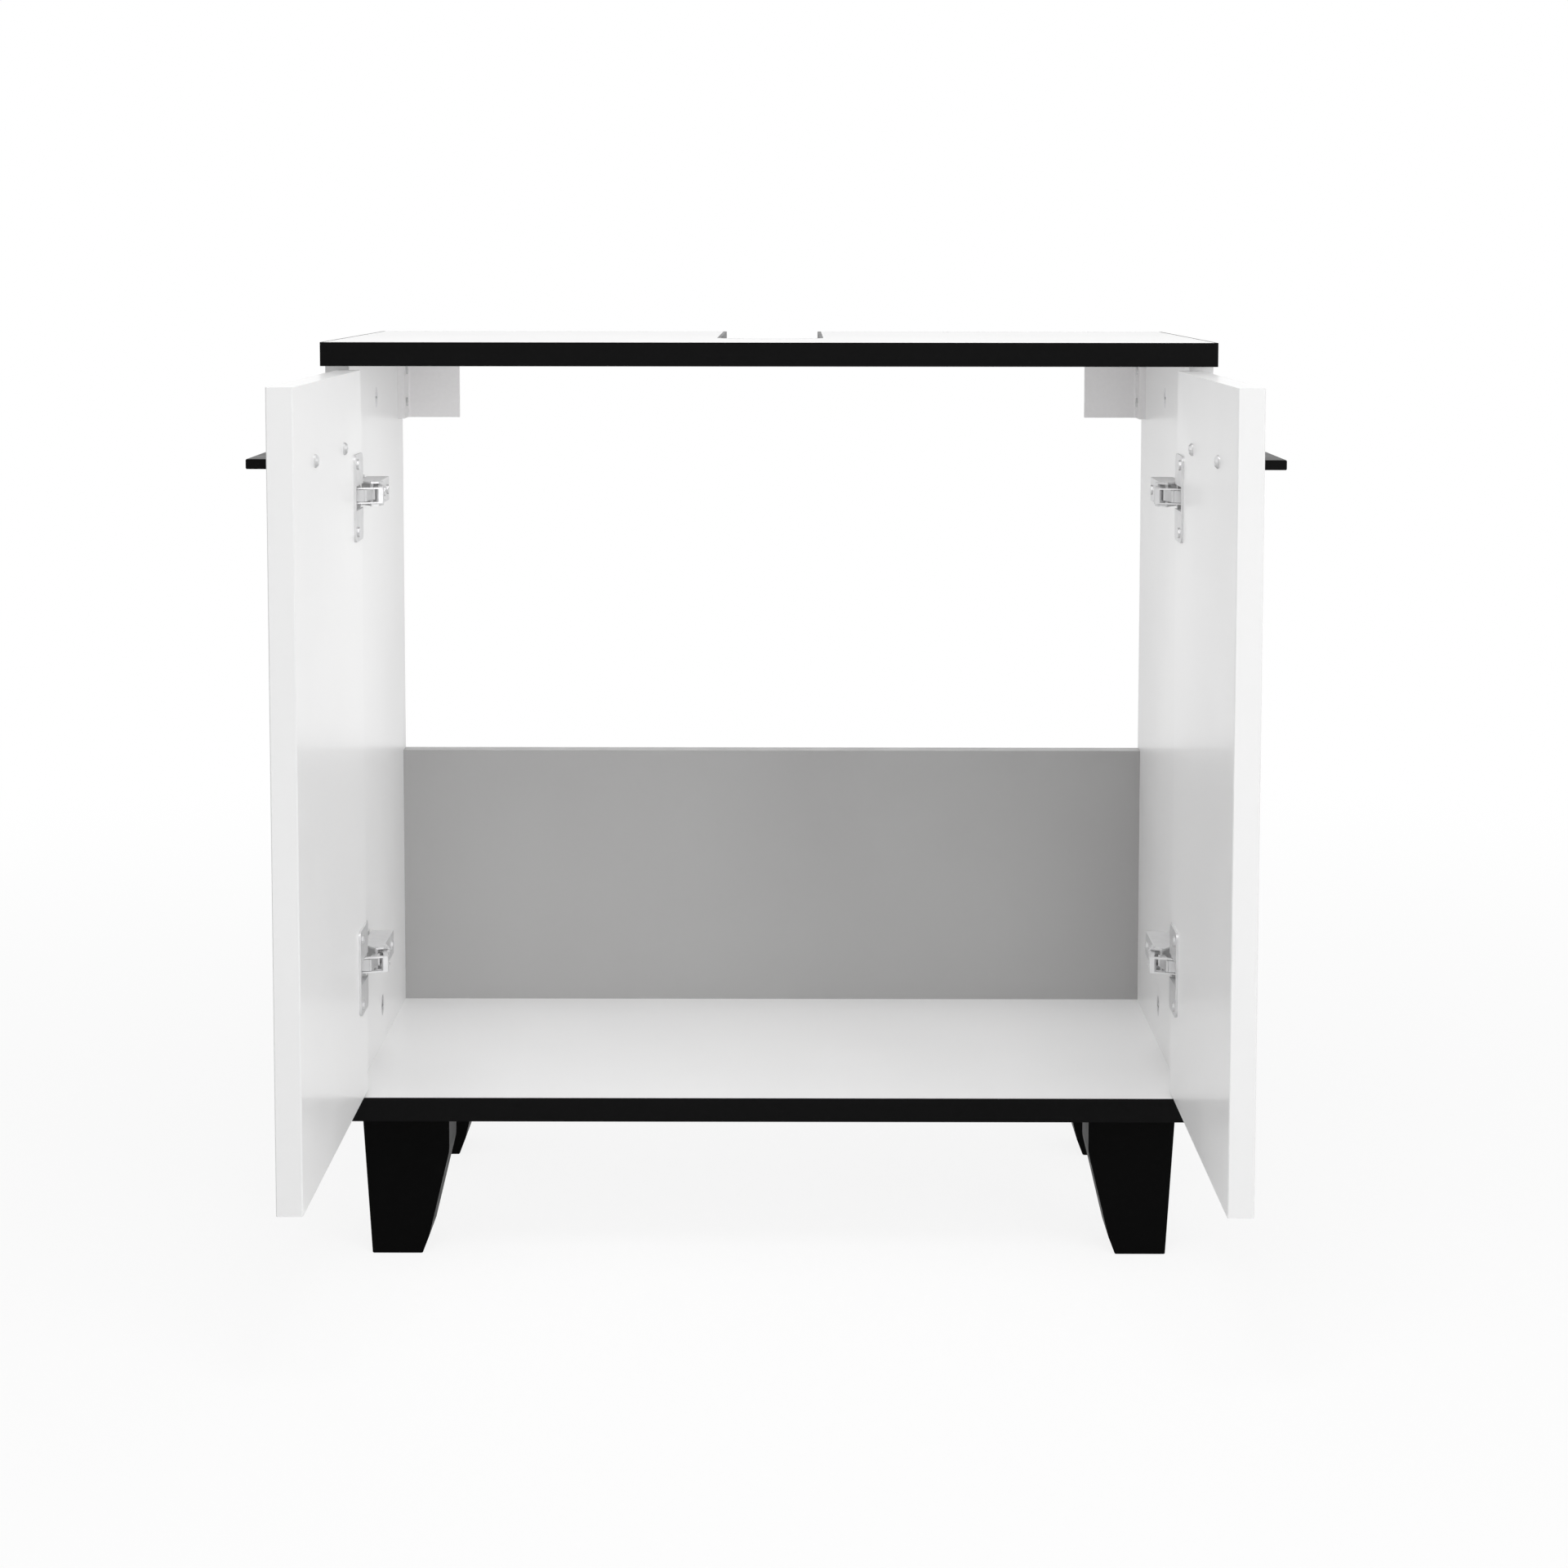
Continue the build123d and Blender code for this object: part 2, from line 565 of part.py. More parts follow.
for name, sign in sides.items():
    door_face_x = sign * (side_inner - open_face)   # inner face of the open door
    # sketches on this plane are drawn in Y and Z, and a positive extrusion
    # goes to +X
    door_face = Plane(origin=(door_face_x, 0, 0), x_dir=(0, 1, 0), z_dir=(1, 0, 0))
    into_door = sign
    off_door = -sign

    with BuildPart() as door:
        with BuildSketch(door_face):
            with Locations((door_middle, (door_bottom + door_top) / 2)):
                Rectangle(door_width, door_height)
        extrude(amount=into_door * board)
        chamfer(door.edges().filter_by(Axis.Z), edge_break)
        with BuildSketch(door_face):
            with Locations(*[(cup_y, z) for z in hinge_heights.values()]):
                Circle(cup_radius + fit)
        extrude(amount=into_door * (cup_depth + under), mode=Mode.SUBTRACT)
        with BuildSketch(door_face):
            with Locations(*cup_screw_spots):
                hole(screw_core)
        extrude(amount=into_door * (screw_depth + under), mode=Mode.SUBTRACT)
        with BuildSketch(door_face):
            with Locations(*handle_spots):
                hole(handle_thread)
        extrude(amount=into_door * board, mode=Mode.SUBTRACT)
    save(door, f"{name}_door_panel")

    handle_face = door_face.offset(into_door * board)
    with BuildPart() as handle:
        with BuildSketch(handle_face):
            with Locations((door_middle, handle_z)):
                Rectangle(handle_length, handle_thickness)
        extrude(amount=into_door * handle_reach)
        outer_edges = handle.edges().group_by(Axis.X)[0 if sign < 0 else -1]
        chamfer(outer_edges, edge_break)
        with BuildSketch(handle_face):
            with Locations(*handle_spots):
                hole(handle_thread)
        extrude(amount=into_door * (handle_thread_depth + under), mode=Mode.SUBTRACT)
    save(handle, f"{name}_handle")

    with BuildPart() as handle_screws:
        with BuildSketch(door_face):
            with Locations(*handle_spots):
                shank(handle_thread)
        extrude(amount=into_door * (board + handle_thread_depth))
        with BuildSketch(door_face):
            with Locations(*handle_spots):
                RegularPolygon(dome_radius, dome_sides)
        extrude(amount=off_door * dome_height)
        crowns = handle_screws.edges().group_by(Axis.X)[-1 if sign < 0 else 0]
        chamfer(crowns, dome_slope)
    save(handle_screws, f"{name}_handle_screws")

    # Hinge cups: a drawn disc with a well for the links, and a flange
    pin_end = well_half_height + pin_grip
    for level, z in hinge_heights.items():
        with BuildPart() as cup:
            with BuildSketch(door_face):
                with Locations((cup_y, z)):
                    Circle(cup_radius)
            extrude(amount=into_door * cup_depth)
            with BuildSketch(door_face):
                with Locations((edge_y - (flange_start + flange_end) / 2, z)):
                    RectangleRounded(flange_end - flange_start, flange_height, 5)
            extrude(amount=off_door * flange)
            with BuildSketch(door_face):
                with Locations((edge_y - (well_start + well_end) / 2, z)):
                    Rectangle(well_end - well_start, 2 * well_half_height)
            extrude(amount=into_door * well_depth, mode=Mode.SUBTRACT)
            # the flange is open towards the hinge edge, where the links pass
            with BuildSketch(door_face):
                with Locations((edge_y - (flange_start + well_end) / 2, z)):
                    Rectangle(well_end - flange_start, 2 * well_half_height)
            extrude(amount=off_door * flange, mode=Mode.SUBTRACT)
            with BuildSketch(door_face.offset(off_door * flange)):
                spots = [(cup_y - cup_screw_offset, z + s * cup_screw_spacing / 2) for s in (-1, 1)]
                with Locations(*spots):
                    hole(screw_core)
            extrude(amount=into_door * flange, mode=Mode.SUBTRACT)
            with BuildSketch(Plane.XY.offset(z)):
                with Locations(place(sign, *inner_cup_pin), place(sign, *outer_cup_pin)):
                    hole(cup_pin_radius)
            extrude(amount=pin_end + under, both=True, mode=Mode.SUBTRACT)
        save(cup, f"{name}_{level}_hinge_cup")

    with BuildPart() as cup_screws:
        with BuildSketch(door_face.offset(off_door * flange)):
            with Locations(*cup_screw_spots):
                shank(screw_core)
        extrude(amount=into_door * (flange + screw_depth))
        with BuildSketch(door_face.offset(off_door * flange)):
            with Locations(*cup_screw_spots):
                RegularPolygon(head_radius, head_sides)
        extrude(amount=off_door * head_height)
    save(cup_screws, f"{name}_cup_screws")

    # Pins: the inner one crosses the well, the outer one is two short stubs
    # beside the inner link
    stub_start = inner_link_height / 2 + stub_play
    with BuildPart() as cup_pins:
        for z in hinge_heights.values():
            with BuildSketch(Plane.XY.offset(z - pin_end)):
                with Locations(place(sign, *inner_cup_pin)):
                    shank(cup_pin_radius)
            extrude(amount=2 * pin_end)
            for start in (z - pin_end, z + stub_start):
                with BuildSketch(Plane.XY.offset(start)):
                    with Locations(place(sign, *outer_cup_pin)):
                        shank(cup_pin_radius)
                extrude(amount=pin_end - stub_start)
    save(cup_pins, f"{name}_cup_pins")

    # Inner link: a cranked bar between the arm and the deep end of the cup
    with BuildPart() as inner_link:
        for z in hinge_heights.values():
            with BuildSketch(Plane.XY.offset(z - inner_link_height / 2)):
                near = place(sign, *arm_inner_pin)
                far = place(sign, *inner_cup_pin)
                bend = place(sign, *inner_bend)
                link_bar(near, bend, link_width)
                link_bar(bend, far, link_width)
                with Locations(near):
                    ring(arm_eye)
                with Locations(far):
                    ring(link_eye)
                with Locations(near):
                    eye(arm_pin_radius)
                with Locations(far):
                    eye(cup_pin_radius)
            extrude(amount=inner_link_height)
    save(inner_link, f"{name}_inner_links")

    # Outer link: two cheeks outside the inner link, joined by a web before the bend
    slope = degrees(atan2(arm_outer_pin[1] - outer_cup_pin[1], sign * (outer_cup_pin[0] - arm_outer_pin[0])))
    slot = 2 * (arm_pin_radius + slot_side_play)
    slot_run = 2 * slot_half_travel + slot
    with BuildPart() as outer_link:
        for z in hinge_heights.values():
            near = place(sign, *outer_cup_pin)
            far = place(sign, *arm_outer_pin)
            bend = place(sign, *outer_bend)
            for start in (z - outer_link_height / 2, z + outer_link_height / 2 - outer_cheek):
                with BuildSketch(Plane.XY.offset(start)):
                    link_bar(near, bend, link_width)
                    link_bar(bend, far, link_width)
                    with Locations(near):
                        ring(link_eye)
                    with Locations(far):
                        Rectangle(slot_run + slot_wall, slot + 2 * slot_wall, rotation=slope)
                        Rectangle(slot_run + 2 * slot_wall, slot + slot_wall, rotation=slope)
                        Rectangle(slot_run, slot, rotation=slope, mode=Mode.SUBTRACT)
                    with Locations(near):
                        eye(cup_pin_radius)
                extrude(amount=outer_cheek)
            share = outer_web_start / hypot(bend[0] - near[0], bend[1] - near[1])
            web_start = (near[0] + share * (bend[0] - near[0]), near[1] + share * (bend[1] - near[1]))
            with BuildSketch(Plane.XY.offset(z - outer_link_height / 2)):
                link_bar(web_start, bend, link_width)
            extrude(amount=outer_link_height)
    save(outer_link, f"{name}_outer_links")

    # Hinge arm: a channel open towards the side board
    for level, z in hinge_heights.items():
        nose = arm_eye / 2 + under
        with BuildPart() as arm:
            with BuildSketch(Plane.XY.offset(z - arm_height / 2)):
                with BuildLine():
                    Polyline(
                        place(sign, arm_foot, arm_rear),
                        place(sign, arm_top, arm_rear),
                        place(sign, arm_top, arm_web_start),
                        place(sign, arm_outer_pin[0] + nose, arm_outer_pin[1]),
                        place(sign, arm_outer_pin[0], arm_inner_pin[1]),
                        place(sign, arm_inner_pin[0], arm_inner_pin[1] - nose),
                        place(sign, arm_inner_pin[0] - nose, arm_inner_pin[1]),
                        place(sign, arm_foot, arm_web_start),
                        close=True,
                    )
                make_face()
            extrude(amount=arm_height)
            with BuildSketch(Plane.XY.offset(z - arm_height / 2 + arm_sheet)):
                with BuildLine():
                    Polyline(
                        place(sign, 0, arm_rear),
                        place(sign, arm_top - arm_sheet, arm_rear),
                        place(sign, arm_top - arm_sheet, arm_web_start),
                        place(sign, arm_top + arm_web_start, arm_web_start),
                        place(sign, arm_top + arm_web_start, 0),
                        place(sign, 0, 0),
                        close=True,
                    )
                make_face()
            extrude(amount=arm_height - 2 * arm_sheet, mode=Mode.SUBTRACT)
            with BuildSketch(Plane.XY.offset(z)):
                with Locations(place(sign, *arm_inner_pin), place(sign, *arm_outer_pin)):
                    hole(arm_pin_radius)
            extrude(amount=arm_height, both=True, mode=Mode.SUBTRACT)
            with BuildSketch(Plane(origin=(sign * side_inner, 0, 0), x_dir=(0, 1, 0), z_dir=(1, 0, 0))):
                with Locations(*[(hinge_origin + w, z) for w in arm_screw_places]):
                    hole(screw_core)
            extrude(amount=-sign * (arm_top + 1), mode=Mode.SUBTRACT)
        save(arm, f"{name}_{level}_hinge_arm")

    with BuildPart() as arm_pins:
        for z in hinge_heights.values():
            with BuildSketch(Plane.XY.offset(z - arm_height / 2 - under)):
                with Locations(place(sign, *arm_inner_pin), place(sign, *arm_outer_pin)):
                    shank(arm_pin_radius)
            extrude(amount=arm_height + 2 * under)
    save(arm_pins, f"{name}_arm_pins")

    # Mounting plate: a cross-shaped base with a rail inside the arm
    for level, z in hinge_heights.items():
        side_face = Plane(origin=(sign * side_inner, 0, 0), x_dir=(0, 1, 0), z_dir=(1, 0, 0))
        with BuildPart() as plate:
            body_middle = hinge_origin + sum(plate_body) / 2
            body_length = plate_body[1] - plate_body[0]
            with BuildSketch(side_face):
                with Locations((body_middle, z)):
                    Rectangle(body_length, plate_body_height)
                with Locations((plate_y, z)):
                    Rectangle(plate_wing_width, plate_wing_height)
            extrude(amount=-sign * plate_base)
            outer_corners = plate.edges().filter_by(Axis.X)
            chamfer(outer_corners.group_by(Axis.Z)[0] + outer_corners.group_by(Axis.Z)[-1], plate_corner)
            with BuildSketch(side_face.offset(-sign * plate_base)):
                with Locations((body_middle, z)):
                    Rectangle(body_length - 4, rail_height)
            extrude(amount=-sign * (arm_top - arm_sheet - plate_base - seat))
            with BuildSketch(side_face):
                with Locations(*[(plate_y, z + s * plate_screw_spacing / 2) for s in (-1, 1)]):
                    hole(euro_radius)
            extrude(amount=-sign * plate_base, mode=Mode.SUBTRACT)
            with BuildSketch(side_face):
                with Locations(*[(hinge_origin + w, z) for w in arm_screw_places]):
                    hole(screw_core)
            extrude(amount=-sign * (arm_top + 1), mode=Mode.SUBTRACT)
        save(plate, f"{name}_{level}_mounting_plate")

    with BuildPart() as plate_screws:
        screw_face = Plane(origin=(sign * (side_inner - plate_base), 0, 0), x_dir=(0, 1, 0), z_dir=(1, 0, 0))
        with BuildSketch(screw_face):
            with Locations(*[(plate_y, z) for z in plate_screw_heights]):
                shank(euro_radius)
        extrude(amount=sign * (plate_base + screw_depth))
        with BuildSketch(screw_face):
            with Locations(*[(plate_y, z) for z in plate_screw_heights]):
                RegularPolygon(plate_head_radius, head_sides)
        extrude(amount=-sign * head_height)
    save(plate_screws, f"{name}_plate_screws")

    with BuildPart() as arm_screws:
        screw_face = Plane(origin=(sign * (side_inner - arm_top), 0, 0), x_dir=(0, 1, 0), z_dir=(1, 0, 0))
        spots = [(hinge_origin + w, z) for z in hinge_heights.values() for w in arm_screw_places]
        with BuildSketch(screw_face):
            with Locations(*spots):
                shank(screw_core)
        extrude(amount=sign * screw_depth)
        with BuildSketch(screw_face):
            with Locations(*spots):
                RegularPolygon(head_radius, head_sides)
        extrude(amount=-sign * head_height)
    save(arm_screws, f"{name}_arm_screws")
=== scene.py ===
import json
import math

import bmesh
import bpy
from mathutils import Matrix, Vector


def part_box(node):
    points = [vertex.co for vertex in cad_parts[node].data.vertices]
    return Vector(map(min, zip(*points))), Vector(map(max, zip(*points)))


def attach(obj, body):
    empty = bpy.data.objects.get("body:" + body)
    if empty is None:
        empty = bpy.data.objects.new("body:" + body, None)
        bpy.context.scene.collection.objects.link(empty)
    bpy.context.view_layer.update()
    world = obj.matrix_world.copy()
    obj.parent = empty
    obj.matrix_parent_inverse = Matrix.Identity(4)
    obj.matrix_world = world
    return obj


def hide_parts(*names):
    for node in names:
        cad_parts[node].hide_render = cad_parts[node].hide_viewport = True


# Dresses the sink base cabinet: a finish for every node, cross recesses in the screw
# heads that can be seen, and the floor, world, lamps and camera of the picture.
# Metres, +Z up, front towards -Y.

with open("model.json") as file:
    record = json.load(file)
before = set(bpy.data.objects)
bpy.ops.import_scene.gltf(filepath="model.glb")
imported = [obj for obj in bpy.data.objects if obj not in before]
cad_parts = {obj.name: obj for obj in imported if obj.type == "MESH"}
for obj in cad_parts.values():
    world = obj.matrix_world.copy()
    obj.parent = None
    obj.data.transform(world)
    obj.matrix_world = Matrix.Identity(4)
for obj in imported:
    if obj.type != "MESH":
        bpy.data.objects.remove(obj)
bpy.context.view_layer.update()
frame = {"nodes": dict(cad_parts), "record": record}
NODES = frame["nodes"]

# ---------------------------------------------------------------------------
# Material helpers
# ---------------------------------------------------------------------------
# Most of a noise's values lie between these
NOISE_LOW = 0.3
NOISE_HIGH = 0.7

# Noise scales, in waves per metre
FOIL_CLOUDS = 6.0
FOIL_SMUDGES = 14.0
FOIL_PEEL = 45.0
BACK_CLOUDS = 5.0
BACK_SMUDGES = 30.0
BACK_GRAIN = 700.0
PLASTIC_SMUDGES = 34.0
SPECK_SHARE = 0.4           # scale of a plastic's specks against that of its grain
METAL_TONES = 120.0
METAL_MARKS = 900.0
WOOD_GRAIN = 300.0
WOOD_STRETCH = (1, 1, 0.08)     # draws the grain out upwards

# Depths of the reliefs, in metres
FOIL_PEEL_DEPTH = 0.0000015
BACK_GRAIN_DEPTH = 0.00002
METAL_MARKS_DEPTH = 0.000003
WOOD_GRAIN_DEPTH = 0.0001

# Lowest and highest roughness of a finish, as shares of the value that it is given
FOIL_SPREAD = (0.97, 1.15)
PLASTIC_SPREAD = (0.95, 1.25)
METAL_SPREAD = (0.85, 1.3)
BACK_ROUGHNESS = (0.3, 0.42)    # as roughness itself
WOOD_ROUGHNESS = 0.7

# Darkest tone against lightest tone of a finish
FOIL_DARKEST = 0.988
METAL_DARKEST = 0.92
FOIL_WARMTH = 0.002         # of the lightest tone

# Size of a normal's Y part at which painted shade on a board's front and rear faces starts, and is
# full
EDGE_SHADE_STARTS = 0.45
EDGE_SHADE_FULL = 0.65


def new_material(name):
    mat = bpy.data.materials.new(name)
    mat.use_nodes = True
    tree = mat.node_tree
    tree.nodes.clear()
    out = tree.nodes.new("ShaderNodeOutputMaterial")
    shader = tree.nodes.new("ShaderNodeBsdfPrincipled")
    tree.links.new(shader.outputs["BSDF"], out.inputs["Surface"])
    return mat, tree, shader


def noise(tree, scale, detail=3.0, rough=0.5, stretch=None):
    """Noise in the object's own coordinates, which are metres."""
    coord = tree.nodes.new("ShaderNodeTexCoord")
    tex = tree.nodes.new("ShaderNodeTexNoise")
    tex.inputs["Scale"].default_value = scale
    tex.inputs["Detail"].default_value = detail
    tex.inputs["Roughness"].default_value = rough
    if stretch:
        mapping = tree.nodes.new("ShaderNodeMapping")
        mapping.inputs["Scale"].default_value = stretch
        tree.links.new(coord.outputs["Object"], mapping.inputs["Vector"])
        tree.links.new(mapping.outputs["Vector"], tex.inputs["Vector"])
    else:
        tree.links.new(coord.outputs["Object"], tex.inputs["Vector"])
    return tex.outputs["Fac"]


def remap(tree, value, low, high, from_low=NOISE_LOW, from_high=NOISE_HIGH):
    node = tree.nodes.new("ShaderNodeMapRange")
    node.inputs["From Min"].default_value = from_low
    node.inputs["From Max"].default_value = from_high
    node.inputs["To Min"].default_value = low
    node.inputs["To Max"].default_value = high
    tree.links.new(value, node.inputs["Value"])
    return node.outputs["Result"]


def two_tones(tree, value, dark, light):
    ramp = tree.nodes.new("ShaderNodeValToRGB")
    ramp.color_ramp.elements[0].position = NOISE_LOW
    ramp.color_ramp.elements[0].color = (*dark, 1)
    ramp.color_ramp.elements[1].position = NOISE_HIGH
    ramp.color_ramp.elements[1].color = (*light, 1)
    tree.links.new(value, ramp.inputs["Fac"])
    return ramp.outputs["Color"]


def bump(tree, shader, height, distance, strength=1.0):
    node = tree.nodes.new("ShaderNodeBump")
    node.inputs["Strength"].default_value = strength
    node.inputs["Distance"].default_value = distance
    tree.links.new(height, node.inputs["Height"])
    tree.links.new(node.outputs["Normal"], shader.inputs["Normal"])


def tint(tree, shader, colour):
    tree.links.new(colour, shader.inputs["Base Color"])


def uneven_roughness(tree, shader, pattern, low, high):
    tree.links.new(remap(tree, pattern, low, high), shader.inputs["Roughness"])


def grey(value, warm=0.0):
    return (value * (1 + warm), value, value * (1 - warm))


def scaled(colour, share):
    return tuple(c * share for c in colour)


def edge_shade_share(tree):
    """Mask of the painted shade: 0 on the faces of a board and 1 on its front and rear edges."""
    coord = tree.nodes.new("ShaderNodeTexCoord")
    parts = tree.nodes.new("ShaderNodeSeparateXYZ")
    tree.links.new(coord.outputs["Normal"], parts.inputs[0])
    size = tree.nodes.new("ShaderNodeMath")
    size.operation = "ABSOLUTE"
    tree.links.new(parts.outputs["Y"], size.inputs[0])
    return remap(tree, size.outputs[0], 0.0, 1.0, EDGE_SHADE_STARTS, EDGE_SHADE_FULL)


def gloss_foil(name, level, rough, coat, edge=1.0):
    """White high-gloss foil: a thin clear coat over an even white, with faint orange peel.
    edge is the tone of the painted shade on the upright front and rear edges, against the faces."""
    mat, tree, shader = new_material(name)
    cloudy = noise(tree, FOIL_CLOUDS, detail=2.0)
    foil = two_tones(tree, cloudy, grey(level * FOIL_DARKEST), grey(level, FOIL_WARMTH))
    # Painted shade: the front and rear edges are darkened by the way they face, in place of the
    # light they lack.
    if edge < 1.0:
        blend = tree.nodes.new("ShaderNodeMix")
        blend.data_type = "RGBA"
        tree.links.new(edge_shade_share(tree), blend.inputs["Factor"])
        tree.links.new(foil, blend.inputs["A"])
        blend.inputs["B"].default_value = (*grey(level * edge), 1)
        foil = blend.outputs["Result"]
    tint(tree, shader, foil)
    low, high = scaled(FOIL_SPREAD, rough)
    uneven_roughness(tree, shader, noise(tree, FOIL_SMUDGES), low, high)
    shader.inputs["IOR"].default_value = 1.45
    shader.inputs["Specular IOR Level"].default_value = 0.25
    shader.inputs["Coat Weight"].default_value = coat
    shader.inputs["Coat Roughness"].default_value = 0.05
    bump(tree, shader, noise(tree, FOIL_PEEL, detail=0.0), FOIL_PEEL_DEPTH)
    return mat


def satin_foil(name, dark, light):
    """Foil of the rear panel, with a fine grain."""
    mat, tree, shader = new_material(name)
    tint(tree, shader, two_tones(tree, noise(tree, BACK_CLOUDS, detail=2.0), dark, light))
    uneven_roughness(tree, shader, noise(tree, BACK_SMUDGES, detail=4.0), *BACK_ROUGHNESS)
    bump(tree, shader, noise(tree, BACK_GRAIN, detail=2.0), BACK_GRAIN_DEPTH, strength=0.4)
    return mat


def satin_plastic(name, colour, rough, grain_scale, grain_depth, specular=0.5, mottle=0.1):
    """Moulded or extruded plastic with a fine grain."""
    mat, tree, shader = new_material(name)
    speck = noise(tree, grain_scale * SPECK_SHARE, detail=4.0)
    dark, light = scaled(colour, 1 - mottle), scaled(colour, 1 + mottle)
    tint(tree, shader, two_tones(tree, speck, dark, light))
    low, high = scaled(PLASTIC_SPREAD, rough)
    uneven_roughness(tree, shader, noise(tree, PLASTIC_SMUDGES, detail=4.0), low, high)
    shader.inputs["Specular IOR Level"].default_value = specular
    bump(tree, shader, noise(tree, grain_scale), grain_depth, strength=0.5)
    return mat


def plated_metal(name, colour, rough, stretch=(1, 1, 1), metal=1.0):
    """Nickel or zinc plate over pressed steel, with faint rolling marks."""
    mat, tree, shader = new_material(name)
    shader.inputs["Metallic"].default_value = metal
    marks = noise(tree, METAL_MARKS, detail=4.0, rough=0.6, stretch=stretch)
    tone = noise(tree, METAL_TONES)
    tint(tree, shader, two_tones(tree, tone, scaled(colour, METAL_DARKEST), colour))
    low, high = scaled(METAL_SPREAD, rough)
    uneven_roughness(tree, shader, marks, low, high)
    bump(tree, shader, marks, METAL_MARKS_DEPTH, strength=0.3)
    return mat


def bare_wood(name, dark, light):
    mat, tree, shader = new_material(name)
    grain = noise(tree, WOOD_GRAIN, detail=6.0, rough=0.6, stretch=WOOD_STRETCH)
    tint(tree, shader, two_tones(tree, grain, dark, light))
    shader.inputs["Roughness"].default_value = WOOD_ROUGHNESS
    bump(tree, shader, grain, WOOD_GRAIN_DEPTH, strength=0.5)
    return mat


# ---------------------------------------------------------------------------
# Materials, one for each slot of the record
# ---------------------------------------------------------------------------
LIGHT_STEEL = (0.66, 0.66, 0.665)

white_board = gloss_foil("white_board", 0.92, rough=0.32, coat=0.10)
# edge paints shade onto the front and rear edges of the side and door boards.
side_board = gloss_foil("side_board", 0.9, rough=0.3, coat=0.14, edge=0.86)
door_board = gloss_foil("door_board", 0.9, rough=0.3, coat=0.12, edge=0.84)
back_board = satin_foil("back_board", dark=(0.385, 0.380, 0.380), light=(0.407, 0.405, 0.404))
black_band = satin_plastic(
    "black_band", (0.0032, 0.0032, 0.0033), rough=0.32,
    grain_scale=900.0, grain_depth=0.000004, specular=0.05,
)
black_leg = satin_plastic(
    "black_leg", (0.0015, 0.0015, 0.0015), rough=0.4,
    grain_scale=1100.0, grain_depth=0.000006, specular=0.03,
)
black_handle = satin_plastic(
    "black_handle", (0.0018, 0.0018, 0.0018), rough=0.34,
    grain_scale=1500.0, grain_depth=0.000004, specular=0.06,
)
grey_trim = satin_plastic(
    "grey_trim", (0.05, 0.05, 0.052), rough=0.4,
    grain_scale=900.0, grain_depth=0.00001, specular=0.3,
)
white_plastic = satin_plastic(
    "white_plastic", (0.84, 0.83, 0.835), rough=0.35,
    grain_scale=900.0, grain_depth=0.000002, mottle=0.015,
)
hinge_metal = plated_metal("hinge_metal", LIGHT_STEEL, 0.38, stretch=(1, 6, 1), metal=0.5)
screw_metal = plated_metal("screw_metal", LIGHT_STEEL, 0.34, metal=0.8)
zinc = plated_metal("zinc", (0.72, 0.72, 0.73), 0.34)
dowel_wood = bare_wood("dowel_wood", dark=(0.42, 0.28, 0.16), light=(0.62, 0.45, 0.28))

SLOT_MATERIALS = {
    "white_board": white_board,
    "gloss_side_board": side_board,
    "gloss_door_board": door_board,
    "black_edge_band": black_band,
    "black_leg": black_leg,
    "black_handle": black_handle,
    "grey_back_board": back_board,
    "grey_trim": grey_trim,
    "white_bracket": white_plastic,
    "dowel_wood": dowel_wood,
    "zinc_fitting": zinc,
    "screw_steel": screw_metal,
    "hinge_steel": hinge_metal,
}
SLOT_OF = {part["node"]: part["material_slot"] for part in frame["record"]["subparts"]}


def dress(obj, material):
    obj.data.materials.clear()
    obj.data.materials.append(material)


for node, obj in NODES.items():
    dress(obj, SLOT_MATERIALS[SLOT_OF[node]])

# ---------------------------------------------------------------------------
# Screws: a cross recess in each visible head, cut into a copy of its node.
# All of them lie along X, with their heads towards the middle of the cabinet.
# ---------------------------------------------------------------------------
CROSSED = {
    "corner_bracket_screws": "carcass",
    "left_arm_screws": "carcass",
    "right_arm_screws": "carcass",
    "left_plate_screws": "carcass",
    "right_plate_screws": "carcass",
    "left_cup_screws": "left_door",
    "right_cup_screws": "right_door",
    "left_handle_screws": "left_door",
    "right_handle_screws": "right_door",
}
CROSS_REACH = 0.62          # middle to the end of a bar, as a share of the head's radius
CROSS_HALF = 0.17           # half the width of a bar, the same way
CROSS_DEPTH = 0.36          # depth of the recess, the same way
CROSS_TAPER = 0.45          # size of its floor against its mouth
CUTTER_CLEAR = 0.0002       # the cutter starts this far outside the head
HEAD_ZONE = 0.0025          # the head's points lie this near the screw's outer end
SAME_POINT = 0.000001       # points closer than this are one


def screws_of(bm):
    """The separate screws of a node, each as a list of its corner points."""
    seen = set()
    screws = []
    for start in bm.verts:
        if start in seen:
            continue
        seen.add(start)
        queue = [start]
        for vert in queue:
            for edge in vert.link_edges:
                other = edge.other_vert(vert)
                if other not in seen:
                    seen.add(other)
                    queue.append(other)
        screws.append([vert.co.copy() for vert in queue])
    return screws


def cross_ring(bm, x, centre, size):
    """The outline of a cross in the plane at x, for a head of radius size."""
    reach = CROSS_REACH * size
    half = CROSS_HALF * size
    ring = []
    for turn in range(4):
        for y, z in ((half, reach), (half, half), (reach, half)):
            for _ in range(turn):
                y, z = z, -y
            ring.append(bm.verts.new((x, centre.y + y, centre.z + z)))
    return ring


